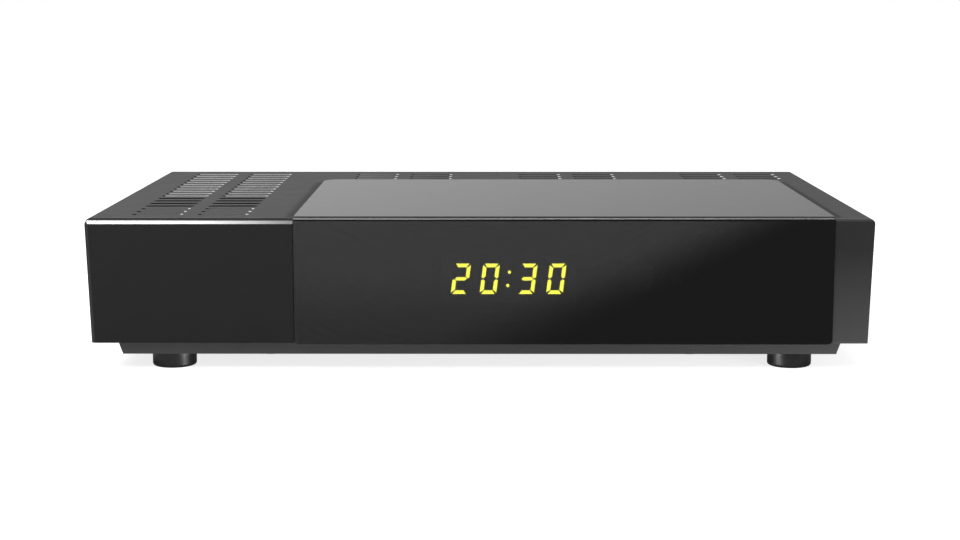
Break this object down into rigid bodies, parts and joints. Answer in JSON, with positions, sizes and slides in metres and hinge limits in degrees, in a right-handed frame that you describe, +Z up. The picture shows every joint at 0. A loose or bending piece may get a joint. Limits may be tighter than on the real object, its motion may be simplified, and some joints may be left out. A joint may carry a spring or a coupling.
{
  "type": "satellite tv receiver",
  "caption": "Compact satellite receiver: folded steel cover with punched vents, dark front with a gloss window that runs back over the top, LED clock, rear sockets and a rear power rocker.",
  "frame": {"origin": "on the ground under the middle of the receiver, connectors included", "axes": "+X to the right seen from the front, +Y from the front to the rear, +Z up"},
  "size_m": [0.22, 0.15, 0.0441],
  "materials": {
    "cover_paint": "fine textured powder coat, dark grey",
    "tray_paint": "powder coat, dark grey",
    "panel_paint": "satin powder coat, dark grey",
    "fascia_plastic": "fine spark-eroded texture",
    "decor_plastic": "satin, with a bright cut edge",
    "window_gloss": "polished black, see-through to strong light",
    "foot_rubber": "matte",
    "screw_steel": "zinc plated",
    "connector_metal": "nickel plated",
    "insulator": "moulded",
    "socket_black": "moulded",
    "shell_steel": "tin plated",
    "board_green": "solder mask",
    "chip_black": "moulded package",
    "can_tin": "tinned sheet",
    "can_sleeve": "shrink sleeve",
    "sink_aluminium": "extruded",
    "crystal_metal": "drawn can",
    "header_white": "moulded",
    "ribbon_grey": "ribbed flat cable",
    "display_black": "smooth",
    "led_lens": "tinted lens",
    "audio_core": "moulded, orange",
    "contact_metal": "plated",
    "lead_sleeve": "smooth insulation",
    "rocker_black": "polished"
  },
  "bodies": {
    "root": {"board_screws": "screw_steel", "chassis_tray": "tray_paint", "coaxial_audio_sleeve": "connector_metal", "coaxial_audio_socket": "audio_core", "connector_insulators": "insulator", "connector_nuts": "connector_metal", "connector_washers": "connector_metal", "cover_screws": "screw_steel", "crystal": "crystal_metal", "dc_contact_pin": "connector_metal", "dc_inlet": "socket_black", "decoder_chip": "chip_black", "decoder_heatsink": "sink_aluminium", "display_driver_chip": "chip_black", "filter_capacitors": "can_sleeve", "flash_chip": "chip_black", "foot_screws": "screw_steel", "front_board": "board_green", "front_board_screws": "screw_steel", "front_fascia": "fascia_plastic", "front_ribbon_header": "header_white", "gloss_front_panel": "window_gloss", "hdmi_insert": "socket_black", "hdmi_shell": "shell_steel", "infrared_receiver": "display_black", "led_display_module": "display_black", "left_decor_panel": "decor_plastic", "lnb_supply_chip": "chip_black", "main_board": "board_green", "main_ribbon_header": "header_white", "memory_chips": "chip_black", "panel_screws": "screw_steel", "power_coils": "chip_black", "power_switch_housing": "socket_black", "rear_panel": "panel_paint", "remote_eye_jack": "socket_black", "ribbon_cable": "ribbon_grey", "rubber_foot_front_left": "foot_rubber", "rubber_foot_front_right": "foot_rubber", "rubber_foot_rear_left": "foot_rubber", "rubber_foot_rear_right": "foot_rubber", "satellite_in_connector": "connector_metal", "satellite_out_connector": "connector_metal", "scart_insert": "socket_black", "scart_shell": "shell_steel", "status_led": "led_lens", "storage_capacitors": "can_sleeve", "switch_leads": "lead_sleeve", "switch_terminals": "contact_metal", "top_cover": "cover_paint", "tray_screws": "screw_steel", "tuner_can": "can_tin", "tuner_can_lid": "can_tin", "usb_insert": "socket_black", "usb_shell": "shell_steel", "voltage_regulators": "chip_black"},
    "rocker": {"power_rocker": "rocker_black"}
  },
  "joints": [
    {"name": "power_rocker_tilt", "type": "hinge", "parent": "root", "child": "rocker", "pos_m": [-0.095, 0.0635, 0.024], "axis": [1, 0, 0], "range_deg": [0, 18]}
  ]
}
